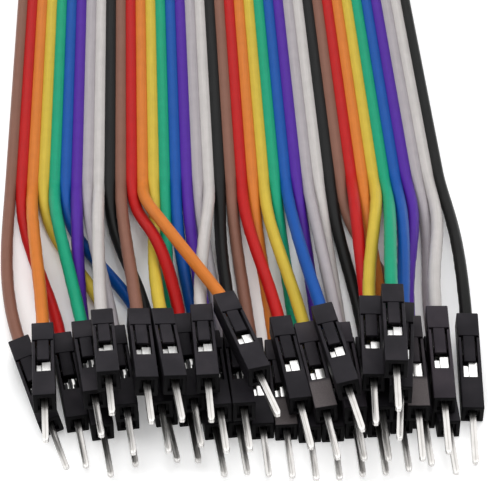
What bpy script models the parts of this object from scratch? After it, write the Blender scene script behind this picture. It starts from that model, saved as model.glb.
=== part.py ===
"""A rainbow ribbon of forty jumper wires, with a single-pin connector on both ends of each wire.

The wires are bonded side by side in the middle of the ribbon and peeled apart towards its ends.
At the near end, -Y, the black connector housings lie in a heap, up to four deep, as they fall.
At the far end they lie in two neat layers. Units are metres, +Z is up, and the ribbon runs along Y.
"""
import math

import bmesh
import bpy
from mathutils import Euler, Matrix, Vector

MM = 0.001

# Ribbon
WIRE_COUNT = 40
WIRE_PITCH = 1.40 * MM
WIRE_DIAMETER = 1.45 * MM
SPAN = 201.0 * MM
NEAR_TAIL = 46.0 * MM
FAR_TAIL = 22.0 * MM
NEAR_STATIONS = 6
FAR_STATIONS = 4

# Connector housing
HOUSING_WIDTH = 2.50 * MM
HOUSING_LENGTH = 14.0 * MM
WALL = 0.275 * MM
FRONT_WALL = 1.6 * MM
COLLAR_LENGTH = 3.4 * MM
TONGUE_LENGTH = 3.75 * MM
TONGUE_WIDTH = 1.35 * MM
TONGUE_SLOT = 0.225 * MM
WINDOW_LENGTH = 2.4 * MM
PIN_HOLE_CLEARANCE = 0.18 * MM
RECESS_DEPTH = 0.5 * MM
RECESS_WIDTH = 1.6 * MM

# Terminal in the housing
PIN_WIDTH = 0.64 * MM
PIN_LENGTH = 6.8 * MM
PIN_POINT = 0.8 * MM
TERMINAL_CLEARANCE = 0.2 * MM
CRIMP_LENGTH = 2.6 * MM
CRIMP_SPREAD = 1.14
STEP = 0.4 * MM

# Spacing of the connectors: side by side, and one on top of another
SIDE_GAP = 0.04 * MM
LAYER_GAP = 0.12 * MM
COLUMN = HOUSING_WIDTH + SIDE_GAP
LAYER = HOUSING_WIDTH + LAYER_GAP

# Each near connector as it lies in the heap, chosen by hand, from wire 1 at -X to wire 40:
# column, setback of its front in millimetres, layer, and yaw, nose lift and roll in degrees.
# Then its wire's tail: sway to +X in millimetres and arch in wire diameters.
NEAR_LAY = (
    (-8.25, 1.4, 0, 16, 0, -12, 0, 0),
    (-7.1, 1.9, 0, 9, 0, 0, -0.2, 0),
    (-8.4, 0.2, 1.15, 3, 8, 0, 0, 1.2),
    (-4.9, 1.9, 0, 7, 0, 0, -0.6, 0),
    (-6.25, 0.9, 1, 7, 8.5, 0, -0.1, 1.5),
    (-3.2, 2.3, 0, 9, 0, 0, -1.0, 0),
    (-6.0, 0.5, 0, 8, 0, 0, 0.2, 1.5),
    (-4.9, -0.2, 1, 6, 4, 0, -0.1, 0.8),
    (-5.6, -0.5, 2.15, 4, 13, 0, 0.1, 1.9),
    (-3.4, 0.6, 1, 5.5, 2, 0, -0.4, 0),
    (-4.0, -0.5, 2.05, 4, 9.5, 5, 0, 0.8),
    (-2.0, 1.3, 1.08, 5, 1.5, 0, -0.1, 2.1),
    (0.8, 0.1, 2.75, 14, 4, 0, -0.8, 2.2),
    (-2.8, -0.7, 2.1, 5.5, 10, 5, 0.1, 0),
    (-2.17, 2.2, 0, 6, 0, 0, 0, 0),
    (-1.08, 0.0, 0, 6, 0, 0, -0.2, 0),
    (-0.9, -1.6, 1, 3.5, 7.5, 0, 0, 0),
    (-0.06, 0.2, 0, 5, 0, 0, 0, 0),
    (-1.4, -0.2, 2.1, 1.5, 8.5, 0, 0.1, 1.5),
    (0.12, -1.5, 1, 2.5, 7.5, 0, -0.3, 0),
    (0.96, -0.2, 0, 2.5, 0, 0, -0.1, 0),
    (2.6, 0.6, 1, 6, 1.5, 0, -0.3, 0.5),
    (1.98, -0.5, 0, 2, 0, 0, -0.1, 0),
    (3.7, -0.6, 1, 6, 0, -4, -0.3, 0.5),
    (2.99, -1.0, 0, 1.75, 0, 0, 0, 0),
    (4.6, -0.9, 2.1, 7.5, 4, -8, 0, 0.5),
    (4.0, -1.0, 0, 1.5, 0, 0, 0.1, 0),
    (4.95, -0.8, 1, 3, 0, 0, 0, 0.6),
    (5.01, -0.6, 0, 1.25, 0, 0, 0, 0),
    (6.02, -0.5, 0, 1, 0, 0, -0.2, 0),
    (8.04, 0.6, 0, 0.5, 0, 0, -0.8, 0),
    (6.1, -0.8, 1, 0.5, -1, 0, -0.3, 1.9),
    (7.03, -0.1, 0, 0.75, 0, 0, -0.5, 1.6),
    (5.72, 0.5, 2.05, -3.5, 3.5, 0, 0.1, 1.6),
    (6.55, -1.3, 3.3, -4, 5, 0, 0, 1.1),
    (6.8, -1.4, 2.3, -7, 0.5, 0, 0, 1.0),
    (7.66, -0.8, 1, -2, -3, 0, 0.5, 0.6),
    (9.05, -0.8, 0, 0.25, 0, 0, 0.5, 0),
    (8.85, 0.3, 1, -2.5, -5, 0, 0.6, 0),
    (10.2, 1.35, 0, -4, -7.0, 0, 0.3, 0),
)
# How soon a tail turns into line with its housing: a small share bends it close behind the collar.
EARLY_TURN = 1.0
LATE_TURN = {13: 0.4, 14: 1.3}
# Wires whose arch is highest past the middle of the tail, not before it.
LATE_ARCH = (12,)
# Arch of the far tails that rise over their neighbours to the upper layer, in wire diameters.
FAR_ARCH = 0.9

FOREMOST = min(row[1] for row in NEAR_LAY) * MM
NEAR_LINE = -SPAN / 2 + PIN_LENGTH - FOREMOST
NEAR_SPLIT = NEAR_LINE + NEAR_TAIL
FAR_TIPS = SPAN / 2
FAR_LINE = FAR_TIPS - PIN_LENGTH
FAR_SPLIT = FAR_LINE - HOUSING_LENGTH - FAR_TAIL

INSULATION = (
    ("brown", (0.26, 0.12, 0.09)),
    ("red", (0.58, 0.02, 0.02)),
    ("orange", (0.76, 0.25, 0.05)),
    ("yellow", (0.68, 0.53, 0.07)),
    ("green", (0.02, 0.40, 0.22)),
    ("blue", (0.01, 0.11, 0.43)),
    ("purple", (0.14, 0.05, 0.39)),
    ("grey", (0.42, 0.41, 0.40)),
    ("white", (0.75, 0.74, 0.72)),
    ("black", (0.02, 0.02, 0.02)),
)
PLASTIC = "housing black"
METAL = "tinned metal"
VINYL_ROUGHNESS = 0.45
PLASTIC_ROUGHNESS = 0.55
METAL_ROUGHNESS = 0.3
# Faces that meet at less than this many degrees are shaded as one curve.
SMOOTH_BELOW = 62


def material(name, colour, roughness, metallic=0.0):
    """One Principled material."""
    made = bpy.data.materials.new(name)
    made.use_nodes = True
    shader = made.node_tree.nodes["Principled BSDF"]
    shader.inputs["Base Color"].default_value = (*colour, 1.0)
    shader.inputs["Roughness"].default_value = roughness
    shader.inputs["Metallic"].default_value = metallic
    made.diffuse_color = (*colour, 1.0)
    return made


def all_materials():
    """The ten insulation colours, the housings' black plastic and the pins' metal, by name."""
    made = {name: material(name, colour, VINYL_ROUGHNESS) for name, colour in INSULATION}
    made[PLASTIC] = material(PLASTIC, (0.025, 0.025, 0.028), PLASTIC_ROUGHNESS)
    made[METAL] = material(METAL, (0.80, 0.79, 0.77), METAL_ROUGHNESS, 1.0)
    return made


def lying(yaw, lift, roll):
    """Rotation of a connector whose nose points along -Y before it is turned."""
    return Euler((math.radians(-lift), math.radians(roll), math.radians(yaw)), "YXZ").to_matrix()


def housing_pose(wire):
    """Middle of the front face and rotation of one near connector, standing on its lowest corner."""
    column, setback, layer, yaw, lift, roll = NEAR_LAY[wire - 1][:6]
    turn = lying(yaw, lift, roll)
    half = HOUSING_WIDTH / 2
    corners = [
        turn @ Vector((side * half, along, height * half))
        for side in (-1, 1)
        for along in (0.0, HOUSING_LENGTH)
        for height in (-1, 1)
    ]
    lowest = min(corner.z for corner in corners)
    return Vector((column * COLUMN, NEAR_LINE + setback * MM, layer * LAYER - lowest)), turn


def far_pose(wire):
    """Middle of the front face and rotation of one far connector, in two layers of neat columns."""
    row, layer = divmod(wire - 1, 2)
    columns = WIRE_COUNT / 2
    x = (row - (columns - 1) / 2) * COLUMN
    z = layer * LAYER + HOUSING_WIDTH / 2
    return Vector((x, FAR_LINE, z)), Matrix.Rotation(math.pi, 3, "Z")


def wire_start(wire, y):
    """Centre of one wire in the bonded ribbon, which lies on the floor."""
    return Vector(((wire - (WIRE_COUNT + 1) / 2) * WIRE_PITCH, y, WIRE_DIAMETER / 2))


def eased(start, end, leave, arrive, share):
    """Point and direction of a smooth curve between two ends with given directions."""
    s = share
    point = (2 * s**3 - 3 * s**2 + 1) * start + (3 * s**2 - 2 * s**3) * end
    point += (s**3 - 2 * s**2 + s) * leave + (s**3 - s**2) * arrive
    slope = (6 * s**2 - 6 * s) * (start - end)
    slope += (3 * s**2 - 4 * s + 1) * leave + (3 * s**2 - 2 * s) * arrive
    return point, slope


def crest(share, late):
    """Height and slope of a smooth rise from 0 to 1 and back, with its top at 0.4 or, if late, at 0.6."""
    if late:
        value, slope = crest(1 - share, False)
        return value, -slope
    scale = 0.4**2 * 0.6**3
    value = share**2 * (1 - share) ** 3 / scale
    slope = (2 * share * (1 - share) ** 3 - 3 * share**2 * (1 - share) ** 2) / scale
    return value, slope


def near_tail(wire):
    """Stations (point, direction, right) from the near split line to the rear of the housing."""
    front, turn = housing_pose(wire)
    sway, arch = NEAR_LAY[wire - 1][6:]
    start = wire_start(wire, NEAR_SPLIT)
    end = front + turn @ Vector((0, HOUSING_LENGTH, 0))
    reach = (end - start).length
    leave = Vector((0, -reach, 0))
    arrive = turn @ Vector((0, -reach * LATE_TURN.get(wire, EARLY_TURN), 0))
    aside = Vector((sway * MM, 0, arch * WIRE_DIAMETER))
    stations = []
    for i in range(NEAR_STATIONS + 1):
        share = i / NEAR_STATIONS
        point, slope = eased(start, end, leave, arrive, share)
        lifted, lifting = crest(share, wire in LATE_ARCH)
        right = Vector((1, 0, 0)).lerp(turn @ Vector((1, 0, 0)), share)
        stations.append((point + aside * lifted, slope + aside * lifting, right))
    return stations


def far_tail(wire):
    """Stations from the rear of the far housing to the far split line."""
    front, turn = far_pose(wire)
    upper = wire % 2 == 0
    aside = Vector((0, 0, FAR_ARCH * WIRE_DIAMETER if upper else 0.0))
    start = front + turn @ Vector((0, HOUSING_LENGTH, 0))
    end = wire_start(wire, FAR_SPLIT)
    along = Vector((0, -(end - start).length, 0))
    stations = []
    for i in range(FAR_STATIONS + 1):
        share = i / FAR_STATIONS
        point, slope = eased(start, end, along, along, share)
        lifted, lifting = crest(share, True)
        stations.append((point + aside * lifted, slope + aside * lifting, Vector((1, 0, 0))))
    return stations


def hexagon(radius):
    """Six corners of a wire's section, with a point on top and flat sides."""
    flat = radius * math.cos(math.radians(30))
    half = radius / 2
    return ((0, radius), (flat, half), (flat, -half), (0, -radius), (-flat, -half), (-flat, half))


def square(width):
    """A square section with the same six corners in order, two of them in the middle of its sides."""
    half = width / 2
    return ((0, half), (half, half), (half, -half), (0, -half), (-half, -half), (-half, half))


def ring(bm, point, direction, right, section):
    """Vertices of one section across the direction."""
    forward = direction.normalized()
    up = right.cross(-forward).normalized()
    side = (-forward).cross(up)
    return [bm.verts.new(point + side * across + up * height) for across, height in section]


def wire_rings(bm, wire):
    """All sections of one wire, from the tip of its far pin to the tip of its near pin."""
    x_axis = Vector((1, 0, 0))
    down_y = Vector((0, -1, 0))
    round_wire = hexagon(WIRE_DIAMETER / 2)
    pin = square(PIN_WIDTH)
    point = square(PIN_WIDTH / 2)
    rings = []
    front, turn = far_pose(wire)
    for y, section in (
        (-PIN_LENGTH, point),
        (PIN_POINT - PIN_LENGTH, pin),
        (0.0, pin),
        (0.0, square(HOUSING_WIDTH)),
        (HOUSING_LENGTH, square(HOUSING_WIDTH)),
    ):
        rings.append(ring(bm, front + turn @ Vector((0, y, 0)), down_y, x_axis, section))
    for place, slope, right in far_tail(wire) + near_tail(wire):
        rings.append(ring(bm, place, slope, right, round_wire))
    front, turn = housing_pose(wire)
    crimp_start = HOUSING_LENGTH - COLLAR_LENGTH
    box_start = crimp_start - CRIMP_LENGTH
    box_end = FRONT_WALL + STEP
    box = square(HOUSING_WIDTH - 2 * (WALL + TERMINAL_CLEARANCE))
    for y, section in (
        (crimp_start, round_wire),
        (crimp_start - STEP, hexagon(CRIMP_SPREAD * WIRE_DIAMETER / 2)),
        (box_start, box),
        (box_end, box),
        (box_end, pin),
        (PIN_POINT - PIN_LENGTH, pin),
        (-PIN_LENGTH, point),
    ):
        place = front + turn @ Vector((0, y, 0))
        rings.append(ring(bm, place, turn @ down_y, turn @ x_axis, section))
    return rings


FAR_PIN_BANDS = 2
FAR_HOUSING_END = 5
BONDED_BAND = FAR_HOUSING_END + FAR_STATIONS
NEAR_METAL = BONDED_BAND + NEAR_STATIONS + 2
RIGHT_FLAT = 1
LEFT_FLAT = 4


def band_material(band, colour):
    """Which material slot a band between two rings takes: the wire's colour, plastic or metal."""
    if band < FAR_PIN_BANDS or band >= NEAR_METAL:
        return len(INSULATION) + 1
    if band < FAR_HOUSING_END:
        return len(INSULATION)
    return colour


def add_face(bm, corners, slot):
    face = bm.faces.new(corners)
    face.material_index = slot
    face.smooth = True


def skin_wire(bm, rings, wire):
    """Side faces and end caps of one wire. A flat that is bonded to a neighbour stays open."""
    colour = (wire - 1) % len(INSULATION)
    for band, (near, far) in enumerate(zip(rings, rings[1:])):
        for side in range(len(near)):
            bonded_right = side == RIGHT_FLAT and wire < WIRE_COUNT
            bonded_left = side == LEFT_FLAT and wire > 1
            if band == BONDED_BAND and (bonded_right or bonded_left):
                continue
            after = (side + 1) % len(near)
            slot = band_material(band, colour)
            add_face(bm, (near[side], near[after], far[after], far[side]), slot)
    add_face(bm, rings[0], len(INSULATION) + 1)
    add_face(bm, rings[-1], len(INSULATION) + 1)


def bond_wires(bm, left, right, colour):
    """The web that joins two neighbours along the bonded stretch: top, bottom and its two ends."""
    far_left, near_left = left[BONDED_BAND], left[BONDED_BAND + 1]
    far_right, near_right = right[BONDED_BAND], right[BONDED_BAND + 1]
    top, bottom = (RIGHT_FLAT, LEFT_FLAT + 1), (RIGHT_FLAT + 1, LEFT_FLAT)
    for a, b in (top, bottom):
        add_face(bm, (far_left[a], far_right[b], near_right[b], near_left[a]), colour)
    for lobe, next_lobe in ((far_left, far_right), (near_left, near_right)):
        corners = (lobe[top[0]], next_lobe[top[1]], next_lobe[bottom[1]], lobe[bottom[0]])
        add_face(bm, corners, colour)


def ribbon_cable(materials):
    """The forty wires in one bonded body, with their crimped terminals and the far connectors."""
    bm = bmesh.new()
    wires = range(1, WIRE_COUNT + 1)
    lofts = {wire: wire_rings(bm, wire) for wire in wires}
    for wire in wires:
        skin_wire(bm, lofts[wire], wire)
        if wire < WIRE_COUNT:
            bond_wires(bm, lofts[wire], lofts[wire + 1], (wire - 1) % len(INSULATION))
    bmesh.ops.recalc_face_normals(bm, faces=bm.faces)
    mesh = bpy.data.meshes.new("ribbon_cable")
    bm.to_mesh(mesh)
    bm.free()
    mesh.set_sharp_from_angle(angle=math.radians(SMOOTH_BELOW))
    for name, _ in INSULATION:
        mesh.materials.append(materials[name])
    mesh.materials.append(materials[PLASTIC])
    mesh.materials.append(materials[METAL])
    cable = bpy.data.objects.new("ribbon_cable", mesh)
    bpy.context.scene.collection.objects.link(cable)
    return cable


def block(name, width, start, end, bottom, top):
    """A box of given width between two places along Y and two heights."""
    bm = bmesh.new()
    middle = Vector((0, (start + end) / 2, (bottom + top) / 2))
    size = Matrix.Diagonal((width, end - start, top - bottom, 1))
    bmesh.ops.create_cube(bm, size=1.0, matrix=Matrix.Translation(middle) @ size)
    mesh = bpy.data.meshes.new(name)
    bm.to_mesh(mesh)
    bm.free()
    made = bpy.data.objects.new(name, mesh)
    bpy.context.scene.collection.objects.link(made)
    return made


def tongue_cutter(name, bottom, top):
    """The opening in the top wall: a window, and the two slots that free the locking tongue."""
    root = HOUSING_LENGTH - COLLAR_LENGTH
    tip = root - TONGUE_LENGTH
    front = tip - WINDOW_LENGTH
    inner = TONGUE_WIDTH / 2
    outer = inner + TONGUE_SLOT
    outline = (
        (-outer, front), (outer, front), (outer, root), (inner, root),
        (inner, tip), (-inner, tip), (-inner, root), (-outer, root),
    )
    bm = bmesh.new()
    face = bm.faces.new([bm.verts.new((x, y, bottom)) for x, y in outline])
    raised = bmesh.ops.extrude_face_region(bm, geom=[face])["geom"]
    tops = [item for item in raised if isinstance(item, bmesh.types.BMVert)]
    bmesh.ops.translate(bm, verts=tops, vec=(0, 0, top - bottom))
    bmesh.ops.recalc_face_normals(bm, faces=bm.faces)
    mesh = bpy.data.meshes.new(name)
    bm.to_mesh(mesh)
    bm.free()
    made = bpy.data.objects.new(name, mesh)
    bpy.context.scene.collection.objects.link(made)
    return made


def housing_mesh(black):
    """One connector housing: open at the rear for the wire, with a pin hole in its front wall."""
    half = HOUSING_WIDTH / 2
    bore = HOUSING_WIDTH - 2 * WALL
    hole = PIN_WIDTH + 2 * PIN_HOLE_CLEARANCE
    past = HOUSING_WIDTH
    body = block("housing blank", HOUSING_WIDTH, 0.0, HOUSING_LENGTH, -half, half)
    cutters = (
        block("bore cutter", bore, FRONT_WALL, HOUSING_LENGTH + past, -bore / 2, bore / 2),
        block("pin hole cutter", hole, -past, FRONT_WALL + past, -hole / 2, hole / 2),
        block("recess cutter", RECESS_WIDTH, -past, RECESS_DEPTH, -RECESS_WIDTH / 2, RECESS_WIDTH / 2),
        tongue_cutter("tongue cutter", 0.0, past),
    )
    for cutter in cutters:
        cutter.hide_render = True
        cutter.display_type = "WIRE"
        cut = body.modifiers.new(cutter.name, "BOOLEAN")
        cut.operation = "DIFFERENCE"
        cut.solver = "EXACT"
        cut.object = cutter
    evaluated = body.evaluated_get(bpy.context.evaluated_depsgraph_get())
    mesh = bpy.data.meshes.new_from_object(evaluated)
    mesh.name = "connector_housing"
    mesh.materials.clear()
    mesh.materials.append(black)
    for spare in (body, *cutters):
        bpy.data.objects.remove(spare, do_unlink=True)
    return mesh


def near_housings(black):
    """The forty separate housings of the near end, which share one mesh."""
    mesh = housing_mesh(black)
    for wire in range(1, WIRE_COUNT + 1):
        place, turn = housing_pose(wire)
        housing = bpy.data.objects.new(f"connector_housing_{wire:02d}", mesh)
        housing.location = place
        housing.rotation_euler = turn.to_euler("XYZ")
        bpy.context.scene.collection.objects.link(housing)


def main():
    for old in list(bpy.data.objects):
        bpy.data.objects.remove(old, do_unlink=True)
    materials = all_materials()
    ribbon_cable(materials)
    near_housings(materials[PLASTIC])


main()
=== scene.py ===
"""Finishes for a rainbow ribbon of forty jumper wires with single-pin connectors on both ends.

Units are metres. The ribbon runs along Y, its near end towards -Y, and it lies on the floor at Z = 0.
The wires follow the same routes as the solids that they stand for.
"""
import math

import bmesh
import bpy
from mathutils import Euler, Matrix, Vector


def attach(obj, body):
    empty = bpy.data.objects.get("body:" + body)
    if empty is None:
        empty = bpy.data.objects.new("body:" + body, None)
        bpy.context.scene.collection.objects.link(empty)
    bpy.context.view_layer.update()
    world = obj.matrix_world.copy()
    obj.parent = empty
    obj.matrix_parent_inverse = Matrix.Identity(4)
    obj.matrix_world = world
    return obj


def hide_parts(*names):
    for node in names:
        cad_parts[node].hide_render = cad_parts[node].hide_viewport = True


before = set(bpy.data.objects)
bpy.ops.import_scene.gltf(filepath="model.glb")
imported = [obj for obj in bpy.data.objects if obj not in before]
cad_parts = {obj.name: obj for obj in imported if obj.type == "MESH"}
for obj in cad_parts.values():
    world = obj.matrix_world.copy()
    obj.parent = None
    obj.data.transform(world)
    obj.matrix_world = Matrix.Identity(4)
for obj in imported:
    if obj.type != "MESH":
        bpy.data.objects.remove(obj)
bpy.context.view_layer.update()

MM = 0.001

# Sizes that the solids have.
WIRE_COUNT = 40
WIRE_PITCH = 1.40 * MM
WIRE_DIAMETER = 1.45 * MM
SPAN = 201.0 * MM
NEAR_TAIL = 46.0 * MM
FAR_TAIL = 22.0 * MM
HOUSING_WIDTH = 2.50 * MM
HOUSING_LENGTH = 14.0 * MM
WALL = 0.275 * MM
FRONT_WALL = 1.6 * MM
COLLAR_LENGTH = 3.4 * MM
TONGUE_LENGTH = 3.75 * MM
TONGUE_WIDTH = 1.35 * MM
TONGUE_SLOT = 0.225 * MM
WINDOW_LENGTH = 2.4 * MM
PIN_HOLE = 1.0 * MM
RECESS_DEPTH = 0.5 * MM
RECESS_WIDTH = 1.6 * MM
PIN_LENGTH = 6.8 * MM
COLUMN = HOUSING_WIDTH + 0.04 * MM
LAYER = HOUSING_WIDTH + 0.12 * MM

# Each near connector from wire 1 at -X to wire 40: column, setback in millimetres, layer,
# yaw, nose lift and roll in degrees, and its tail's sway in millimetres and arch in wire diameters.
NEAR_LAY = (
    (-8.25, 1.4, 0, 16, 0, -12, 0, 0),
    (-7.1, 1.9, 0, 9, 0, 0, -0.2, 0),
    (-8.4, 0.2, 1.15, 3, 8, 0, 0, 1.2),
    (-4.9, 1.9, 0, 7, 0, 0, -0.6, 0),
    (-6.25, 0.9, 1, 7, 8.5, 0, -0.1, 1.5),
    (-3.2, 2.3, 0, 9, 0, 0, -1.0, 0),
    (-6.0, 0.5, 0, 8, 0, 0, 0.2, 1.5),
    (-4.9, -0.2, 1, 6, 4, 0, -0.1, 0.8),
    (-5.6, -0.5, 2.15, 4, 13, 0, 0.1, 1.9),
    (-3.4, 0.6, 1, 5.5, 2, 0, -0.4, 0),
    (-4.0, -0.5, 2.05, 4, 9.5, 5, 0, 0.8),
    (-2.0, 1.3, 1.08, 5, 1.5, 0, -0.1, 2.1),
    (0.8, 0.1, 2.75, 14, 4, 0, -0.8, 2.2),
    (-2.8, -0.7, 2.1, 5.5, 10, 5, 0.1, 0),
    (-2.17, 2.2, 0, 6, 0, 0, 0, 0),
    (-1.08, 0.0, 0, 6, 0, 0, -0.2, 0),
    (-0.9, -1.6, 1, 3.5, 7.5, 0, 0, 0),
    (-0.06, 0.2, 0, 5, 0, 0, 0, 0),
    (-1.4, -0.2, 2.1, 1.5, 8.5, 0, 0.1, 1.5),
    (0.12, -1.5, 1, 2.5, 7.5, 0, -0.3, 0),
    (0.96, -0.2, 0, 2.5, 0, 0, -0.1, 0),
    (2.6, 0.6, 1, 6, 1.5, 0, -0.3, 0.5),
    (1.98, -0.5, 0, 2, 0, 0, -0.1, 0),
    (3.7, -0.6, 1, 6, 0, -4, -0.3, 0.5),
    (2.99, -1.0, 0, 1.75, 0, 0, 0, 0),
    (4.6, -0.9, 2.1, 7.5, 4, -8, 0, 0.5),
    (4.0, -1.0, 0, 1.5, 0, 0, 0.1, 0),
    (4.95, -0.8, 1, 3, 0, 0, 0, 0.6),
    (5.01, -0.6, 0, 1.25, 0, 0, 0, 0),
    (6.02, -0.5, 0, 1, 0, 0, -0.2, 0),
    (8.04, 0.6, 0, 0.5, 0, 0, -0.8, 0),
    (6.1, -0.8, 1, 0.5, -1, 0, -0.3, 1.9),
    (7.03, -0.1, 0, 0.75, 0, 0, -0.5, 1.6),
    (5.72, 0.5, 2.05, -3.5, 3.5, 0, 0.1, 1.6),
    (6.55, -1.3, 3.3, -4, 5, 0, 0, 1.1),
    (6.8, -1.4, 2.3, -7, 0.5, 0, 0, 1.0),
    (7.66, -0.8, 1, -2, -3, 0, 0.5, 0.6),
    (9.05, -0.8, 0, 0.25, 0, 0, 0.5, 0),
    (8.85, 0.3, 1, -2.5, -5, 0, 0.6, 0),
    (10.2, 1.35, 0, -4, -7.0, 0, 0.3, 0),
)

# How strongly a tail lines up with its connector before it enters, where that isn't 1, and the tails whose
# arch has its top close to the connector.
LATE_TURN = {13: 0.4, 14: 1.3}
LATE_ARCH = (12,)

# Height of every second far tail's arch in wire diameters, and how far along a tail an arch has its top.
FAR_ARCH = 0.9
ARCH_TOP = 0.4

FOREMOST = min(row[1] for row in NEAR_LAY) * MM
NEAR_LINE = -SPAN / 2 + PIN_LENGTH - FOREMOST
NEAR_SPLIT = NEAR_LINE + NEAR_TAIL
FAR_LINE = SPAN / 2 - PIN_LENGTH
FAR_SPLIT = FAR_LINE - HOUSING_LENGTH - FAR_TAIL

# Points along each part of a wire's route, round the wire, and over the start of its peeled part.
INSIDE_STEPS = 4
NEAR_STEPS = 44
BONDED_STEPS = 20
FAR_STEPS = 24
WIRE_SIDES = 18
PEEL_STEPS = 3

# Camera, at the photograph's angle: place in metres, angles in degrees, lens and sensor in millimetres.
CAMERA_PLACE = (-0.00696, -0.2515, 0.16262)
CAMERA_DOWN = 40.0
CAMERA_TURN = 2.62
CAMERA_LENS = 150.8
CAMERA_SENSOR = 36.0

# Softboxes: name, place, the point it is aimed at, width, depth and power.
SOFTBOXES = (
    ("overhead softbox", (0.05, 0.45, 0.85), (0, -0.04, 0), 2.2, 1.5, 17.0),
    ("side fill", (-0.5, -0.1, 0.6), (0, -0.06, 0), 0.6, 0.6, 1.3),
)

# The spot that lights the front of the heap, its angle in degrees, and the strength of the light all round.
SPOT_PLACE = (0.0, -0.19, 0.52)
SPOT_TARGET = (0.002, -0.095, 0.0)
SPOT_POWER = 1.9
SPOT_ANGLE = 20
SPOT_RADIUS = 0.08
SKY_STRENGTH = 0.34

# The floor's size, where its painted shadow under the ribbon ends beside, before and beyond the ribbon, and
# its glow on the painted shadow and off it.
FLOOR_SIZE = 4.0
PAINTED_SHADOW_SIDE = (0.024, 0.032)
PAINTED_SHADOW_NEAR = (-0.094, -0.080)
PAINTED_SHADOW_FAR = (0.088, 0.102)
PAINTED_SHADOW_GLOW = 0.03
OPEN_GLOW = 0.46

# Modelling limits: a distance that counts as touching, the smallest edge that is kept, how squarely a face
# has to look along an axis, and the angles in degrees above which edges are rounded and shaded sharp.
TOUCHING = 0.01 * MM
SMALLEST = 0.002 * MM
SQUARE_ON = 0.9
ROUNDED_ABOVE = 50
SHARP_ABOVE = 35

# Details that the solids leave to the finish.
CORNER_RADIUS = 0.13 * MM
CORNER_SEGMENTS = 3
EDGE_RADIUS = 0.035 * MM
EDGE_SEGMENTS = 2
TONGUE_DROP = 0.09 * MM
TONGUE_THICKNESS = 0.30 * MM
TONGUE_CHAMFER = 0.17 * MM
HOOK_WIDTH = 1.2 * MM
HOOK_SETBACK = 0.35 * MM
HOOK_LENGTH = 0.95 * MM
HOOK_BOTTOM = 0.1 * MM
NOTCH_WIDTH = 2.30 * MM
NOTCH_LENGTH = 0.34 * MM
NOTCH_DEPTH = 0.5 * MM
SHEET_METAL = 0.18 * MM
BOX_WIDTH = 1.60 * MM
BOX_TOP = 0.92 * MM
BOX_BOTTOM = -0.80 * MM
BOX_FRONT = 2.1 * MM
BOX_REAR = 5.6 * MM
FLAP_SEAM = -0.20 * MM
FLAP_GAP = 0.05 * MM
LONG_FLAP_END = 6.35 * MM
SHORT_FLAP_END = 5.85 * MM
SHORT_FLAP_DROP = 0.04 * MM
FLAP_END_ZONE = 0.1 * MM
METAL_RADIUS = 0.05 * MM
PIN_DRAWN = 0.69 * MM
POINT_LENGTH = 0.42 * MM
POINT_SHARE = 0.58
GROOVE_WIDTH = 0.12 * MM
GROOVE_DEPTH = 0.07 * MM
WIRE_END = 9.4 * MM
CRIMP_START = 8.3 * MM
CRIMP_END = 10.3 * MM
CRIMP_CLEARANCE = 0.02 * MM
CRIMP_SIDES = 20
NECK_WIDTH = BOX_WIDTH * 0.6
NECK_RADIUS = 0.04 * MM
PEEL_RIDGE = 0.055 * MM
WEB_HEIGHT = 0.40 * MM

# The torn ridge rises and falls in two waves along the wire, in radians per millimetre, and each wire starts
# them at another place.
RIDGE_WAVES = (2.3, 0.9)
RIDGE_START = 1.7

# How far each terminal's flaps reach back in the window, in millimetres from the usual place.
FLAP_SHIFT = {22: 0.15, 26: -0.05, 28: 0.4, 34: -0.35, 37: 0.4, 40: 0.45, 3: 0.2, 9: -0.15, 13: -0.1}

# Connectors whose black has faded, those whose front block is scuffed, and those whose window has painted
# shade inside but for thin glints.
FADED = (28, 39)
SCUFFED = (23, 24, 37)
PAINTED_SHADE_WINDOWS = (1, 2, 5, 8, 10, 12, 17, 20)

# Where a connector's finish, its painted shade and its painted highlight change, in millimetres on the
# unplaced part, each with its start and its end.
# Measured in from the sides of the housing or of the pin:
RUBBED_RIM = (0.16, 0.03)
# Painted shade on the housing's sides.
SIDE_PAINTED_SHADE = (0.06, 0.02)
# Painted shade over the pin's flats, lighter at its edges as a painted reflection.
PIN_FLATS = (0.11, 0.04)
# Measured out from the middle:
# Painted shade along the pin's groove.
PIN_GROOVE = (0.04, 0.085)
# Painted shade in the front recess.
RECESS_PAINTED_SHADE = (0.82, 0.85)
# Measured back from the front face, the last one from the tip of the pin:
# Painted shade on the front face.
END_PAINTED_SHADE = (0.05, 0.14)
SCUFFED_BLOCK = (3.9, 4.4)
# Where the pin's painted shade ends.
PIN_ROOT = (1.5, 1.7)
BOX_FACE = (1.7, 1.9)
# Where the painted highlight at the pin's tip starts and ends.
PIN_TIP_HIGHLIGHT = (0.1, 0.5)

# Colours of the insulation, in the ribbon's order.
COLOURS = (
    ("brown", (0.190, 0.086, 0.060)),
    ("red", (0.390, 0.005, 0.005)),
    ("orange", (0.530, 0.155, 0.022)),
    ("yellow", (0.500, 0.365, 0.040)),
    ("green", (0.004, 0.270, 0.145)),
    ("blue", (0.003, 0.066, 0.295)),
    ("purple", (0.063, 0.013, 0.258)),
    ("grey", (0.340, 0.313, 0.330)),
    ("white", (0.465, 0.440, 0.428)),
    ("black", (0.0045, 0.0045, 0.0045)),
)

# Each plastic's name, its colour, its warmer patches and, on the last one, the scuffs.
PLAIN_PLASTIC = ("moulded black", (0.0182, 0.0164, 0.0200), (0.0206, 0.0180, 0.0214))
FADED_PLASTIC = ("moulded black faded", (0.036, 0.030, 0.037), (0.039, 0.032, 0.038))
SCUFFED_PLASTIC = (
    "moulded black scuffed", (0.028, 0.0245, 0.029), (0.032, 0.027, 0.030), (0.125, 0.108, 0.109),
)
# The near black of the painted shade on the housings' end faces and recess.
UNLIT_BLACK = (0.005, 0.0047, 0.0054)

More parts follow.
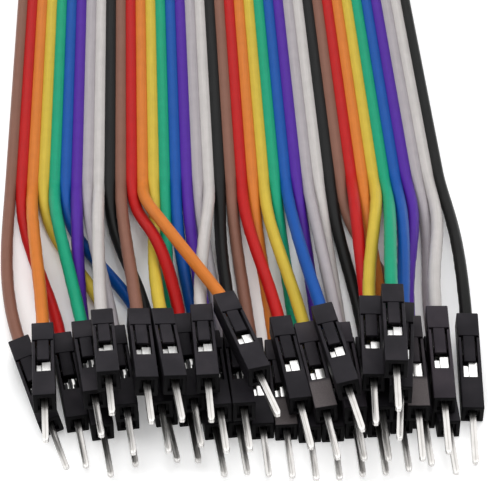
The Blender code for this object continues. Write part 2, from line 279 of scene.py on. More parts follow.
# Colours of the metal, with the painted shade of the pin and of the windows that get painted shade, and the
# floor's two shades with their places in its clouding.
TIN_DULL = (0.80, 0.785, 0.765)
TIN_PLAIN = (0.90, 0.89, 0.875)
TIN_BRIGHT = (0.95, 0.945, 0.935)
TIN_PAINTED_SHADE = (0.24, 0.225, 0.21)
TIN_UNLIT = (0.012, 0.012, 0.013)
FLOOR_SHADES = ((0.2, (0.90, 0.90, 0.90)), (0.8, (0.93, 0.93, 0.93)))


def deselect():
    """Leaves edit mode and lets go of everything, so that the next operator acts on its own piece only."""
    if bpy.context.object and bpy.context.object.mode != "OBJECT":
        bpy.ops.object.mode_set(mode="OBJECT")
    bpy.ops.object.select_all(action="DESELECT")


def add_block(name, width, start, end, bottom, top, middle=0.0):
    """A box between two places along Y and two heights, with its place in its mesh."""
    deselect()
    centre = (middle, (start + end) / 2, (bottom + top) / 2)
    bpy.ops.mesh.primitive_cube_add(size=1.0, location=centre, scale=(width, end - start, top - bottom))
    bpy.ops.object.transform_apply(location=True, rotation=True, scale=True)
    bpy.context.object.name = name
    return bpy.context.object


def choose_faces(piece, wanted):
    """Leaves edit mode open with the faces selected whose middle and normal pass the test."""
    bpy.context.view_layer.objects.active = piece
    bpy.ops.object.mode_set(mode="EDIT")
    bpy.ops.mesh.select_mode(type="FACE")
    bpy.ops.mesh.select_all(action="DESELECT")
    bpy.ops.object.mode_set(mode="OBJECT")
    for face in piece.data.polygons:
        face.select = bool(wanted(face.center, face.normal))
    bpy.ops.object.mode_set(mode="EDIT")


def choose_edges(piece, wanted):
    """Leaves edit mode open with the edges selected whose two ends pass the test."""
    bpy.context.view_layer.objects.active = piece
    bpy.ops.object.mode_set(mode="EDIT")
    bpy.ops.mesh.select_mode(type="EDGE")
    bpy.ops.mesh.select_all(action="DESELECT")
    bpy.ops.object.mode_set(mode="OBJECT")
    places = piece.data.vertices
    for edge in piece.data.edges:
        edge.select = bool(wanted(places[edge.vertices[0]].co, places[edge.vertices[1]].co))
    bpy.ops.object.mode_set(mode="EDIT")


def leave():
    """Goes back to object mode."""
    bpy.ops.object.mode_set(mode="OBJECT")


def combine(piece, other, operation):
    """Cuts the other piece out of this one, or adds it, and removes the other."""
    deselect()
    piece.select_set(True)
    bpy.context.view_layer.objects.active = piece
    step = piece.modifiers.new(other.name, "BOOLEAN")
    step.operation = operation
    step.solver = "EXACT"
    step.object = other
    bpy.ops.object.modifier_apply(modifier=step.name)
    bpy.data.objects.remove(other, do_unlink=True)


def soften(piece, width):
    """Rounds every sharp edge of a piece."""
    deselect()
    piece.select_set(True)
    bpy.context.view_layer.objects.active = piece
    step = piece.modifiers.new("rounded edges", "BEVEL")
    step.width = width
    step.segments = EDGE_SEGMENTS
    step.limit_method = "ANGLE"
    step.angle_limit = math.radians(ROUNDED_ABOVE)
    step.use_clamp_overlap = True
    bpy.ops.object.modifier_apply(modifier=step.name)


def join(pieces, name):
    """Makes the pieces one, under the given name."""
    deselect()
    for piece in pieces:
        piece.select_set(True)
    bpy.context.view_layer.objects.active = pieces[0]
    bpy.ops.object.join()
    pieces[0].name = name
    return pieces[0]


def keep_place(mesh):
    """Writes each vertex's place on the unplaced part, in millimetres, for the materials to read."""
    mark = mesh.attributes.new("part_place", "FLOAT_VECTOR", "POINT")
    for vertex, value in zip(mesh.vertices, mark.data):
        value.vector = vertex.co / MM


def start_material(name):
    """A new material with its nodes, its links and its shader."""
    made = bpy.data.materials.new(name)
    made.use_nodes = True
    return made, made.node_tree.nodes, made.node_tree.links, made.node_tree.nodes["Principled BSDF"]


def noise(nodes, links, source, scale, detail, roughness, stretch=None):
    """A noise texture fed from the given coordinates, stretched by a Mapping node if asked."""
    if stretch:
        mapping = nodes.new("ShaderNodeMapping")
        mapping.inputs["Scale"].default_value = stretch
        links.new(source, mapping.inputs["Vector"])
        source = mapping.outputs["Vector"]
    texture = nodes.new("ShaderNodeTexNoise")
    texture.inputs["Scale"].default_value = scale
    texture.inputs["Detail"].default_value = detail
    texture.inputs["Roughness"].default_value = roughness
    links.new(source, texture.inputs["Vector"])
    return texture.outputs["Fac"]


def ramp(nodes, links, factor, stops):
    """A run of colours, from stops of a place and a colour."""
    made = nodes.new("ShaderNodeValToRGB")
    for element, (place, colour) in zip(made.color_ramp.elements, (stops[0], stops[-1])):
        element.position = place
        element.color = (*colour, 1)
    for place, colour in stops[1:-1]:
        made.color_ramp.elements.new(place).color = (*colour, 1)
    links.new(factor, made.inputs["Fac"])
    return made.outputs["Color"]


def spread(nodes, links, value, low, high, from_low=0.3, from_high=0.7):
    """Maps one range of values to another, held at its ends. The usual one is the middle part of a noise."""
    made = nodes.new("ShaderNodeMapRange")
    made.inputs["From Min"].default_value = from_low
    made.inputs["From Max"].default_value = from_high
    made.inputs["To Min"].default_value = low
    made.inputs["To Max"].default_value = high
    links.new(value, made.inputs["Value"])
    return made.outputs["Result"]


def sums(nodes, links, operation, a, b):
    """One step of arithmetic on two values, each of them a socket or a number."""
    made = nodes.new("ShaderNodeMath")
    made.operation = operation
    for socket, value in zip(made.inputs, (a, b)):
        if isinstance(value, (int, float)):
            socket.default_value = value
        else:
            links.new(value, socket)
    return made.outputs["Value"]


def blend_colours(nodes, links, factor, first, second):
    """Turns the first colour, a socket, into the second, a fixed one, as the factor rises."""
    made = nodes.new("ShaderNodeMix")
    made.data_type = "RGBA"
    links.new(factor, made.inputs["Factor"])
    links.new(first, made.inputs["A"])
    made.inputs["B"].default_value = (*second, 1)
    return made.outputs["Result"]


def connector_places(nodes, links):
    """The place on the unplaced connector in millimetres, as one vector and as its three parts."""
    local = nodes.new("ShaderNodeAttribute")
    local.attribute_name = "part_place"
    split = nodes.new("ShaderNodeSeparateXYZ")
    links.new(local.outputs["Vector"], split.inputs["Vector"])
    return local.outputs["Vector"], split.outputs


def bump(nodes, links, height, strength, distance, shader):
    """Raises the surface a little by the given height."""
    made = nodes.new("ShaderNodeBump")
    made.inputs["Strength"].default_value = strength
    made.inputs["Distance"].default_value = distance
    links.new(height, made.inputs["Height"])
    links.new(made.outputs["Normal"], shader.inputs["Normal"])


def insulation_material(name, colour):
    """Soft vinyl: faint lines along the wire from extrusion, clouding, and a satin skin."""
    made, nodes, links, shader = start_material(f"insulation {name}")
    along = nodes.new("ShaderNodeUVMap")
    along.uv_map = "UVMap"
    place = nodes.new("ShaderNodeTexCoord").outputs["Object"]
    cloud = noise(nodes, links, place, scale=520.0, detail=3.0, roughness=0.55)
    along_wire = along.outputs["UV"]
    lines = noise(nodes, links, along_wire, scale=1.0, detail=3.0, roughness=0.6, stretch=(0.12, 5.0, 1.0))
    mixed = sums(nodes, links, "MULTIPLY_ADD", cloud, 0.6)
    links.new(lines, mixed.node.inputs[2])
    dark = tuple(part * 0.92 for part in colour)
    light = tuple(min(1.0, part * 1.06 + 0.002) for part in colour)
    skin = ramp(nodes, links, mixed, ((0.55, dark), (0.8, colour), (1.0, light)))
    links.new(skin, shader.inputs["Base Color"])
    links.new(spread(nodes, links, lines, low=0.36, high=0.50), shader.inputs["Roughness"])
    shader.inputs["Specular IOR Level"].default_value = 0.10
    fine = noise(nodes, links, place, scale=5200.0, detail=2.0, roughness=0.5)
    both = sums(nodes, links, "ADD", lines, fine)
    bump(nodes, links, both, strength=0.22, distance=0.03 * MM, shader=shader)
    return made


def plastic_material(name, colour, warm, scuffed=None):
    """Moulded nylon with a fine eroded grain, paler where its edges are rubbed or its front block is scuffed.

    Painted shade makes the sides darker than the top and the bottom, and painted shade makes the end faces
    and the recess darker still.
    """
    made, nodes, links, shader = start_material(name)
    place = nodes.new("ShaderNodeTexCoord").outputs["Object"]
    local, parts = connector_places(nodes, links)
    along = parts["Y"]
    across = sums(nodes, links, "ABSOLUTE", parts["X"], 0)
    height = sums(nodes, links, "ABSOLUTE", parts["Z"], 0)
    half = HOUSING_WIDTH / MM / 2
    rim_start, rim_end = (half - inward for inward in RUBBED_RIM)
    near_side = spread(nodes, links, across, 0.0, 1.0, rim_start, rim_end)
    near_top = spread(nodes, links, height, 0.0, 1.0, rim_start, rim_end)
    rim = sums(nodes, links, "MULTIPLY", near_side, near_top)
    patchy = noise(nodes, links, place, scale=900.0, detail=4.0, roughness=0.6)
    patches = spread(nodes, links, patchy, 0.0, 0.8, from_low=0.42, from_high=0.66)
    rubbed = sums(nodes, links, "MULTIPLY", rim, patches)
    clouds = noise(nodes, links, place, scale=260.0, detail=3.0, roughness=0.5)
    dark = tuple(part * 0.78 for part in colour)
    light = tuple(part * 1.3 for part in warm)
    base = ramp(nodes, links, clouds, ((0.3, dark), (0.5, colour), (0.72, light)))
    if scuffed:
        front = spread(nodes, links, along, 1.0, 0.0, *SCUFFED_BLOCK)
        scratches = noise(nodes, links, local, scale=1.0, detail=3.0, roughness=0.6, stretch=(6.5, 8.5, 6.5))
        mottled = spread(nodes, links, scratches, 0.68, 1.0, from_low=0.38, from_high=0.62)
        base = blend_colours(nodes, links, sums(nodes, links, "MULTIPLY", front, mottled), base, scuffed)
    # Painted shade: the sides of the housing are darkened to half its colour.
    side_start, side_end = (half - inward for inward in SIDE_PAINTED_SHADE)
    painted_side_shade = spread(nodes, links, across, 0.0, 1.0, side_start, side_end)
    base = blend_colours(nodes, links, painted_side_shade, base, tuple(part * 0.5 for part in colour))
    worn = tuple(0.012 + part * 1.4 for part in colour)
    skin = blend_colours(nodes, links, rubbed, base, worn)
    # Painted shade: the end faces and the recess fade to near black.
    painted_end_shade = spread(nodes, links, along, 1.0, 0.0, *END_PAINTED_SHADE)
    painted_recess_shade = spread(nodes, links, sums(nodes, links, "MAXIMUM", across, height), 1.0, 0.0, *RECESS_PAINTED_SHADE)
    unlit = sums(nodes, links, "MAXIMUM", painted_end_shade, painted_recess_shade)
    links.new(blend_colours(nodes, links, unlit, skin, UNLIT_BLACK), shader.inputs["Base Color"])
    grain = noise(nodes, links, place, scale=9000.0, detail=3.0, roughness=0.65)
    links.new(spread(nodes, links, grain, low=0.42, high=0.60), shader.inputs["Roughness"])
    shader.inputs["Specular IOR Level"].default_value = 0.06
    bump(nodes, links, grain, strength=0.35, distance=0.02 * MM, shader=shader)
    return made


def metal_material(name, window_painted_shade):
    """Tin plate with drawn lines along the pin and dull patches, its box bright, or dark with painted shade
    but for thin glints.

    Painted shade makes the pin greyer than the box and darkest along its groove and its flats, with lighter
    edges as a painted reflection.
    """
    made, nodes, links, shader = start_material(name)
    local, parts = connector_places(nodes, links)
    along = parts["Y"]
    across = sums(nodes, links, "ABSOLUTE", parts["X"], 0)
    place = nodes.new("ShaderNodeTexCoord").outputs["Object"]
    drawn = noise(nodes, links, local, scale=1.0, detail=3.0, roughness=0.55, stretch=(14.0, 0.5, 14.0))
    dull = noise(nodes, links, place, scale=700.0, detail=3.0, roughness=0.5)
    base = ramp(nodes, links, dull, ((0.3, TIN_DULL), (0.5, TIN_PLAIN), (0.75, TIN_BRIGHT)))
    # Painted shade along the pin's groove and over its flats, with lighter edges as a painted reflection; the
    # whole pin is greyed by painted shade.
    groove = spread(nodes, links, across, 0.85, 0.0, *PIN_GROOVE)
    flat_start, flat_end = (PIN_DRAWN / MM / 2 - inward for inward in PIN_FLATS)
    flat = spread(nodes, links, across, 0.60, 0.14, flat_start, flat_end)
    on_pin = spread(nodes, links, along, 1.0, 0.0, *PIN_ROOT)
    # Painted highlight: less painted shade near the tip, so the tip reads as a bright rim.
    tip_start, tip_end = (back - PIN_LENGTH / MM for back in PIN_TIP_HIGHLIGHT)
    tip_painted_highlight = spread(nodes, links, along, 0.7, 1.0, tip_start, tip_end)
    painted_pin_shade = sums(nodes, links, "MAXIMUM", sums(nodes, links, "MAXIMUM", groove, flat), 0.60)
    shade = sums(nodes, links, "MULTIPLY", painted_pin_shade, on_pin)
    shade = sums(nodes, links, "MULTIPLY", shade, tip_painted_highlight)
    plate = blend_colours(nodes, links, shade, base, TIN_PAINTED_SHADE)
    # Painted shade inside the window, left off in thin stripes where the box shows as glints.
    if window_painted_shade:
        inside = spread(nodes, links, along, 0.0, 1.0, *BOX_FACE)
        glints = noise(nodes, links, local, scale=1.0, detail=2.0, roughness=0.5, stretch=(4.5, 0.5, 0.5))
        between_glints = spread(nodes, links, glints, 1.0, 0.0, from_low=0.54, from_high=0.60)
        dim = sums(nodes, links, "MULTIPLY", inside, between_glints)
        plate = blend_colours(nodes, links, dim, plate, TIN_UNLIT)
    links.new(plate, shader.inputs["Base Color"])
    shader.inputs["Metallic"].default_value = 1.0
    links.new(spread(nodes, links, drawn, low=0.26, high=0.40), shader.inputs["Roughness"])
    bump(nodes, links, drawn, strength=0.18, distance=0.02 * MM, shader=shader)
    return made


def floor_material():
    """A white sweep that glows evenly, but for a painted shadow under the ribbon where it glows less."""
    made, nodes, links, shader = start_material("studio sweep")
    place = nodes.new("ShaderNodeTexCoord").outputs["Object"]
    cloud = noise(nodes, links, place, scale=3.0, detail=2.0, roughness=0.5)
    links.new(ramp(nodes, links, cloud, FLOOR_SHADES), shader.inputs["Base Color"])
    shader.inputs["Roughness"].default_value = 0.7
    shader.inputs["Emission Color"].default_value = (1.0, 1.0, 1.0, 1.0)
    split = nodes.new("ShaderNodeSeparateXYZ")
    links.new(place, split.inputs["Vector"])
    across = sums(nodes, links, "ABSOLUTE", split.outputs["X"], 0)
    # Painted shadow: the floor glows less in a patch under the ribbon.
    beside = spread(nodes, links, across, 0.0, 1.0, *PAINTED_SHADOW_SIDE)
    before = spread(nodes, links, split.outputs["Y"], 1.0, 0.0, *PAINTED_SHADOW_NEAR)
    beyond = spread(nodes, links, split.outputs["Y"], 0.0, 1.0, *PAINTED_SHADOW_FAR)
    open_floor = sums(nodes, links, "MAXIMUM", sums(nodes, links, "MAXIMUM", beside, before), beyond)
    glow = spread(nodes, links, open_floor, PAINTED_SHADOW_GLOW, OPEN_GLOW, from_low=0.0, from_high=1.0)
    links.new(glow, shader.inputs["Emission Strength"])
    shader.inputs["Specular IOR Level"].default_value = 0.2
    return made


def lying(yaw, lift, roll):
    """Rotation of a connector whose nose points along -Y before it is turned."""
    return Euler((math.radians(-lift), math.radians(roll), math.radians(yaw)), "YXZ").to_matrix()


def near_pose(wire):
    """Middle of the front face and rotation of one near connector, standing on its lowest corner."""
    column, setback, layer, yaw, lift, roll = NEAR_LAY[wire - 1][:6]
    turn = lying(yaw, lift, roll)
    half = HOUSING_WIDTH / 2
    lowest = min(
        (turn @ Vector((side * half, along, height * half))).z
        for side in (-1, 1)
        for along in (0.0, HOUSING_LENGTH)
        for height in (-1, 1)
    )
    return Vector((column * COLUMN, NEAR_LINE + setback * MM, layer * LAYER - lowest)), turn


def far_pose(wire):
    """Middle of the front face and rotation of one far connector, in two layers of neat columns."""
    row, layer = divmod(wire - 1, 2)
    x = (row - (WIRE_COUNT / 2 - 1) / 2) * COLUMN
    return Vector((x, FAR_LINE, layer * LAYER + HOUSING_WIDTH / 2)), Matrix.Rotation(math.pi, 3, "Z")


def wire_start(wire, y):
    """The middle of a bonded wire at a place along the ribbon."""
    return Vector(((wire - (WIRE_COUNT + 1) / 2) * WIRE_PITCH, y, WIRE_DIAMETER / 2))


def eased(start, end, leave_by, arrive_by, s):
    """A point of the smooth curve between two ends with given directions."""
    point = (2 * s**3 - 3 * s**2 + 1) * start + (3 * s**2 - 2 * s**3) * end
    return point + (s**3 - 2 * s**2 + s) * leave_by + (s**3 - s**2) * arrive_by


def crest(share, late):
    """A smooth rise from 0 to 1 and back, its top just before the middle or, if late, as far beyond it."""
    s = 1 - share if late else share
    return s**2 * (1 - s) ** 3 / (ARCH_TOP**2 * (1 - ARCH_TOP) ** 3)


def route(wire):
    """Points of a wire's centreline, from inside its near housing to its far one, and where it is bonded."""
    front, turn = near_pose(wire)
    sway, arch = NEAR_LAY[wire - 1][6:]
    split = wire_start(wire, NEAR_SPLIT)
    rear = front + turn @ Vector((0, HOUSING_LENGTH, 0))
    reach = (rear - split).length
    leave_by = Vector((0, -reach, 0))
    arrive_by = turn @ Vector((0, -reach * LATE_TURN.get(wire, 1.0), 0))
    aside = Vector((sway * MM, 0, arch * WIRE_DIAMETER))
    covered = HOUSING_LENGTH - WIRE_END
    inner_places = [WIRE_END + covered * i / INSIDE_STEPS for i in range(INSIDE_STEPS)]
    points = [front + turn @ Vector((0, y, 0)) for y in inner_places]
    for i in range(NEAR_STEPS, -1, -1):
        s = i / NEAR_STEPS
        points.append(eased(split, rear, leave_by, arrive_by, s) + aside * crest(s, wire in LATE_ARCH))
    first_bonded = len(points) - 1
    far_split = wire_start(wire, FAR_SPLIT)
    points += [split.lerp(far_split, i / BONDED_STEPS) for i in range(1, BONDED_STEPS + 1)]
    last_bonded = len(points) - 1
    far_front, far_turn = far_pose(wire)
    far_rear = far_front + far_turn @ Vector((0, HOUSING_LENGTH, 0))
    along = Vector((0, (far_rear - far_split).length, 0))
    lift = Vector((0, 0, FAR_ARCH * WIRE_DIAMETER if wire % 2 == 0 else 0.0))
    for i in range(1, FAR_STEPS + 1):
        s = i / FAR_STEPS
        points.append(eased(far_split, far_rear, along, along, s) + lift * crest(s, False))
    inside = far_front + far_turn @ Vector((0, WIRE_END, 0))
    points += [far_rear.lerp(inside, i / INSIDE_STEPS) for i in range(1, INSIDE_STEPS + 1)]
    return points, first_bonded, last_bonded


def wire_tube(wire, points, first_bonded, last_bonded):
    """A round tube along the route, with the torn ridge of the bond on the sides that were peeled."""
    sides = WIRE_SIDES
    count = len(points)
    travelled = [0.0]
    for a, b in zip(points, points[1:]):
        travelled.append(travelled[-1] + (b - a).length)
    bm = bmesh.new()
    layer = bm.loops.layers.uv.new("UVMap")
    rings = []
    for i, point in enumerate(points):
        forward = (points[min(i + 1, count - 1)] - points[max(i - 1, 0)]).normalized()
        right = Vector((1, 0, 0))
        up = right.cross(forward)
        up.normalize()
        right = forward.cross(up)
        if up.z < 0:
            up, right = -up, -right
        if right.x < 0:
            right = -right
        peeled = i < first_bonded or i > last_bonded
        past = min(abs(i - first_bonded), abs(i - last_bonded)) / PEEL_STEPS
        bond = max(0.0, 1 - past) if peeled else 1.0
        ring = []
        for k in range(sides):
            angle = 2 * math.pi * k / sides
            radius = WIRE_DIAMETER / 2
            bonded_side = (k == 0 and wire < WIRE_COUNT) or (k == sides // 2 and wire > 1)
            if peeled and bonded_side:
                quick = math.sin(travelled[i] / MM * RIDGE_WAVES[0] + wire * RIDGE_START + k)
                slow = math.sin(travelled[i] / MM * RIDGE_WAVES[1] + wire)
                radius += PEEL_RIDGE * min(1.0, past) * (0.5 + 0.5 * quick * slow)
            across, height = radius * math.cos(angle), radius * math.sin(angle)
            on_right = k in (1, sides - 1) and wire < WIRE_COUNT
            on_left = k in (sides // 2 - 1, sides // 2 + 1) and wire > 1
            if bond and (on_right or on_left):
                across += bond * (math.copysign(WIRE_PITCH / 2, across) - across)
                height += bond * (math.copysign(WEB_HEIGHT, height) - height)
            offset = right * across + up * height
            ring.append(bm.verts.new(point + offset))
        rings.append(ring)
    round_mm = math.pi * WIRE_DIAMETER / MM
    for i, (a, b) in enumerate(zip(rings, rings[1:])):
        for k in range(sides):
            after = (k + 1) % sides
            face = bm.faces.new((a[k], a[after], b[after], b[k]))
            face.smooth = True
            places = ((i, k), (i, k + 1), (i + 1, k + 1), (i + 1, k))
            for loop, (at, turned) in zip(face.loops, places):
                loop[layer].uv = (travelled[at] / MM, turned / sides * round_mm)
    for ring in (rings[0], rings[-1]):
        bm.faces.new(ring)
    bmesh.ops.recalc_face_normals(bm, faces=bm.faces)
    mesh = bpy.data.meshes.new(f"wire_{wire:02d}")
    bm.to_mesh(mesh)
    bm.free()
    return mesh, travelled[-1]


def model_housing():
    """The connector housing: a bored block with a front recess, a window, and a sunk tongue with its hook."""
    half = HOUSING_WIDTH / 2
    body = add_block("housing", HOUSING_WIDTH, 0.0, HOUSING_LENGTH, -half, half)
    choose_faces(body, lambda middle, normal: normal.y < -SQUARE_ON)
    bpy.ops.mesh.inset(thickness=(HOUSING_WIDTH - RECESS_WIDTH) / 2)
    bpy.ops.mesh.extrude_region_move(TRANSFORM_OT_translate={"value": (0, RECESS_DEPTH, 0)})
    bpy.ops.mesh.inset(thickness=(RECESS_WIDTH - PIN_HOLE) / 2)
    bpy.ops.mesh.extrude_region_move(TRANSFORM_OT_translate={"value": (0, FRONT_WALL - RECESS_DEPTH, 0)})
    bpy.ops.mesh.delete(type="FACE")
    leave()
    choose_faces(body, lambda middle, normal: normal.y > SQUARE_ON and middle.y > HOUSING_LENGTH - TOUCHING)
    bpy.ops.mesh.inset(thickness=WALL)
    bpy.ops.mesh.extrude_region_move(TRANSFORM_OT_translate={"value": (0, FRONT_WALL - HOUSING_LENGTH, 0)})
    bpy.ops.mesh.inset(thickness=(HOUSING_WIDTH - 2 * WALL - PIN_HOLE) / 2)
    bpy.ops.mesh.delete(type="FACE")
    bpy.ops.mesh.select_all(action="SELECT")
    bpy.ops.mesh.remove_doubles(threshold=TOUCHING)
    leave()

    def outer(a, b):
        """An edge between two outer corners of the block, along it or round one of its ends."""
        return all(min(abs(v.x), abs(v.z)) > half - TOUCHING for v in (a, b))

    choose_edges(body, outer)
    bpy.ops.mesh.bevel(offset=CORNER_RADIUS, segments=CORNER_SEGMENTS, affect="EDGES")
    leave()
    root = HOUSING_LENGTH - COLLAR_LENGTH
    tip = root - TONGUE_LENGTH
    opening = TONGUE_WIDTH + 2 * TONGUE_SLOT
    combine(body, add_block("opening", opening, tip - WINDOW_LENGTH, root, 0.0, HOUSING_WIDTH), "DIFFERENCE")
    notch = add_block("notch", NOTCH_WIDTH, root - NOTCH_LENGTH, root, half - NOTCH_DEPTH, HOUSING_WIDTH)
    combine(body, notch, "DIFFERENCE")
    tongue_top = half - TONGUE_DROP
    tongue = add_block("tongue", TONGUE_WIDTH, tip, root + WALL, tongue_top - TONGUE_THICKNESS, tongue_top)
    choose_faces(tongue, lambda middle, normal: normal.y < -SQUARE_ON)
    bpy.ops.mesh.extrude_region_move(TRANSFORM_OT_translate={"value": (0, -TOUCHING, 0)})
    leave()
    choose_edges(tongue, lambda a, b: min(a.z, b.z) > tongue_top - TOUCHING and abs(a.x - b.x) < TOUCHING)
    bpy.ops.mesh.bevel(offset=TONGUE_CHAMFER, segments=EDGE_SEGMENTS, affect="EDGES")
    leave()
    combine(body, tongue, "UNION")
    hook_top = tongue_top - TONGUE_THICKNESS / 2
    hook = add_block("hook", HOOK_WIDTH, tip + HOOK_SETBACK, tip + HOOK_LENGTH, HOOK_BOTTOM, hook_top)
    combine(body, hook, "UNION")
    soften(body, EDGE_RADIUS)
    choose_faces(body, lambda middle, normal: True)
    bpy.ops.mesh.remove_doubles(threshold=SMALLEST)
    bpy.ops.mesh.dissolve_degenerate(threshold=SMALLEST)
    leave()
    return body


def model_terminal():
    """The crimped terminal: a grooved pin, an open box with two folded flaps, a neck and a crimp barrel."""
    half = PIN_DRAWN / 2
    pin = add_block("pin", PIN_DRAWN, POINT_LENGTH - PIN_LENGTH, BOX_FRONT + SHEET_METAL, -half, half)
    choose_faces(pin, lambda middle, normal: normal.y < -SQUARE_ON)
    bpy.ops.mesh.extrude_region_move(TRANSFORM_OT_translate={"value": (0, -POINT_LENGTH, 0)})
    tip = (0.0, -PIN_LENGTH, 0.0)
    bpy.ops.transform.resize(value=(POINT_SHARE, 1.0, POINT_SHARE), center_override=tip)
    for x in (-GROOVE_WIDTH, -GROOVE_WIDTH / 2, GROOVE_WIDTH / 2, GROOVE_WIDTH):
        bpy.ops.mesh.select_all(action="SELECT")
        bpy.ops.mesh.bisect(plane_co=(x, 0, 0), plane_no=(1, 0, 0))
    leave()
    for way in (-1, 1):
        choose_faces(
            pin,
            lambda middle, normal: abs(middle.x) < GROOVE_WIDTH / 2
            and normal.z * way > SQUARE_ON
            and middle.y > POINT_LENGTH - PIN_LENGTH,
        )
        bpy.ops.transform.translate(value=(0, 0, -way * GROOVE_DEPTH))
        leave()
    soften(pin, METAL_RADIUS)

    trough = add_block("trough", BOX_WIDTH, BOX_FRONT, BOX_REAR, BOX_BOTTOM, BOX_TOP - SHEET_METAL - TOUCHING)
    choose_faces(trough, lambda middle, normal: normal.z > SQUARE_ON or normal.y > SQUARE_ON)
    bpy.ops.mesh.delete(type="FACE")
    leave()
    wall = trough.modifiers.new("sheet", "SOLIDIFY")
    wall.thickness = SHEET_METAL
    wall.offset = -1.0
    bpy.context.view_layer.objects.active = trough
    bpy.ops.object.modifier_apply(modifier=wall.name)
    left = -BOX_WIDTH / 2
    short_width = FLAP_SEAM - FLAP_GAP / 2 - left
    long_width = -left - FLAP_SEAM - FLAP_GAP / 2
    flap_bottom = BOX_TOP - SHEET_METAL
    short_flap = add_block(
        "short flap", short_width, BOX_FRONT, SHORT_FLAP_END,
        flap_bottom, BOX_TOP - SHORT_FLAP_DROP, left + short_width / 2,
    )
    long_flap = add_block(
        "long flap", long_width, BOX_FRONT, LONG_FLAP_END,
        flap_bottom, BOX_TOP, -left - long_width / 2,
    )
    for flap in (short_flap, long_flap):
        soften(flap, METAL_RADIUS)

    deselect()
    middle = (0, (CRIMP_START + CRIMP_END) / 2, 0)
    bpy.ops.mesh.primitive_cylinder_add(
        vertices=CRIMP_SIDES, radius=WIRE_DIAMETER / 2 + CRIMP_CLEARANCE, depth=CRIMP_END - CRIMP_START,
        end_fill_type="NOTHING", location=middle, rotation=(math.pi / 2, 0, 0),
    )
    bpy.ops.object.transform_apply(location=True, rotation=True, scale=True)
    barrel = bpy.context.object
    shell = barrel.modifiers.new("sheet", "SOLIDIFY")
    shell.thickness = SHEET_METAL
    shell.offset = 1.0
    bpy.ops.object.modifier_apply(modifier=shell.name)
    neck_start, neck_end = BOX_REAR - SHEET_METAL, CRIMP_START + SHEET_METAL
    neck = add_block("neck", NECK_WIDTH, neck_start, neck_end, BOX_BOTTOM, BOX_BOTTOM + SHEET_METAL)
    soften(neck, NECK_RADIUS)
    return join([pin, trough, short_flap, long_flap, barrel, neck], "terminal")


def smooth_by_angle(mesh):
    """Shades a mesh smooth but for its sharp edges."""
    for face in mesh.polygons:
        face.use_smooth = True
    mesh.set_sharp_from_angle(angle=math.radians(SHARP_ABOVE))


def place_copy(master, name, place, turn, material, flap_shift=0.0):
    """A copy of a finished piece with its own mesh, set at its place, its flaps lengthened by the shift."""
    mesh = master.data.copy()
    if flap_shift:
        for vertex in mesh.vertices:
            y = vertex.co.y
            if min(abs(y - SHORT_FLAP_END), abs(y - LONG_FLAP_END)) < FLAP_END_ZONE:
                vertex.co.y += flap_shift
    mesh.transform(Matrix.Translation(place) @ turn.to_4x4())
    mesh.materials.clear()
    mesh.materials.append(material)
    made = bpy.data.objects.new(name, mesh)
    bpy.context.scene.collection.objects.link(made)
    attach(made, "root")
    return made


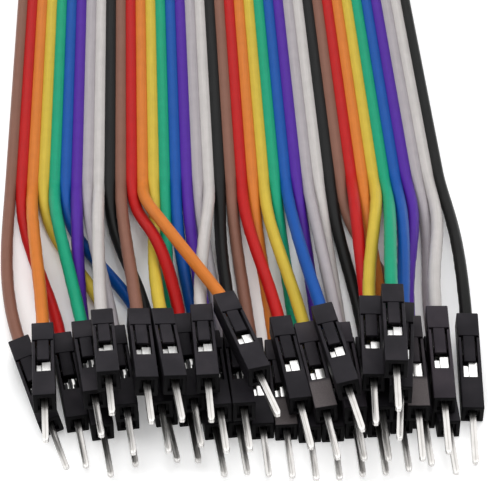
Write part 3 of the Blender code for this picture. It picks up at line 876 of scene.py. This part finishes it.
def dress():
    """Puts housings, terminals and wires in the places of the solids that they replace."""
    insulation = [insulation_material(name, colour) for name, colour in COLOURS]
    plastic = plastic_material(*PLAIN_PLASTIC)
    faded = plastic_material(*FADED_PLASTIC)
    scuffed = plastic_material(*SCUFFED_PLASTIC)
    metal = metal_material("tinned metal bright", False)
    window_shaded_metal = metal_material("tinned metal window painted shade", True)
    housing = model_housing()
    terminal = model_terminal()
    for master in (housing, terminal):
        smooth_by_angle(master.data)
        keep_place(master.data)
    for wire in range(1, WIRE_COUNT + 1):
        near, near_turn = near_pose(wire)
        far, far_turn = far_pose(wire)
        shift = FLAP_SHIFT.get(wire, 0.0) * MM
        black = faded if wire in FADED else scuffed if wire in SCUFFED else plastic
        near_housing = place_copy(housing, f"near_housing_{wire:02d}", near, near_turn, black)
        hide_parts(f"connector_housing_{wire:02d}")
        far_housing = place_copy(housing, f"far_housing_{wire:02d}", far, far_turn, plastic)
        tin = window_shaded_metal if wire in PAINTED_SHADE_WINDOWS else metal
        near_terminal = place_copy(terminal, f"near_terminal_{wire:02d}", near, near_turn, tin, shift)
        far_terminal = place_copy(terminal, f"far_terminal_{wire:02d}", far, far_turn, metal)
        for piece in (far_housing, near_terminal, far_terminal):
            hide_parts("ribbon_cable")
        points, first_bonded, last_bonded = route(wire)
        mesh, length = wire_tube(wire, points, first_bonded, last_bonded)
        colour = (wire - 1) % len(COLOURS)
        mesh.materials.append(insulation[colour])
        tube = bpy.data.objects.new(f"wire_{wire:02d}", mesh)
        bpy.context.scene.collection.objects.link(tube)
        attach(tube, "root")
        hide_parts("ribbon_cable")
    for master in (housing, terminal):
        bpy.data.objects.remove(master, do_unlink=True)


def hang_lamp(data, place, target):
    """Puts a lamp at its place, turned to its target."""
    lamp = bpy.data.objects.new(data.name, data)
    lamp.location = place
    lamp.rotation_euler = (Vector(target) - lamp.location).to_track_quat("-Z", "Y").to_euler()
    bpy.context.scene.collection.objects.link(lamp)


def add_softbox(name, place, target, width, depth, power):
    """A wide rectangular lamp."""
    data = bpy.data.lights.new(name, "AREA")
    data.shape = "RECTANGLE"
    data.size = width
    data.size_y = depth
    data.energy = power
    hang_lamp(data, place, target)


def stage():
    """Floor, lamps and camera."""
    deselect()
    bpy.ops.mesh.primitive_plane_add(size=FLOOR_SIZE, location=(0, 0, 0))
    floor = bpy.context.object
    floor.name = "studio_floor"
    floor.data.materials.append(floor_material())
    world = bpy.data.worlds.new("soft studio")
    world.use_nodes = True
    world.node_tree.nodes["Background"].inputs["Color"].default_value = (1.0, 1.0, 1.0, 1.0)
    world.node_tree.nodes["Background"].inputs["Strength"].default_value = SKY_STRENGTH
    bpy.context.scene.world = world
    for softbox in SOFTBOXES:
        add_softbox(*softbox)
    glow = bpy.data.lights.new("front glow", "SPOT")
    glow.energy = SPOT_POWER
    glow.spot_size = math.radians(SPOT_ANGLE)
    glow.spot_blend = 1.0
    glow.shadow_soft_size = SPOT_RADIUS
    hang_lamp(glow, SPOT_PLACE, SPOT_TARGET)
    data = bpy.data.cameras.new("photo camera")
    data.lens = CAMERA_LENS
    data.sensor_width = CAMERA_SENSOR
    data.sensor_fit = "HORIZONTAL"
    camera = bpy.data.objects.new("photo camera", data)
    camera.location = CAMERA_PLACE
    camera.rotation_euler = (math.radians(90 - CAMERA_DOWN), 0.0, math.radians(-CAMERA_TURN))
    bpy.context.scene.collection.objects.link(camera)
    bpy.context.scene.camera = camera
    bpy.context.scene.view_settings.view_transform = "Standard"


stage()
dress()
bpy.context.view_layer.update()
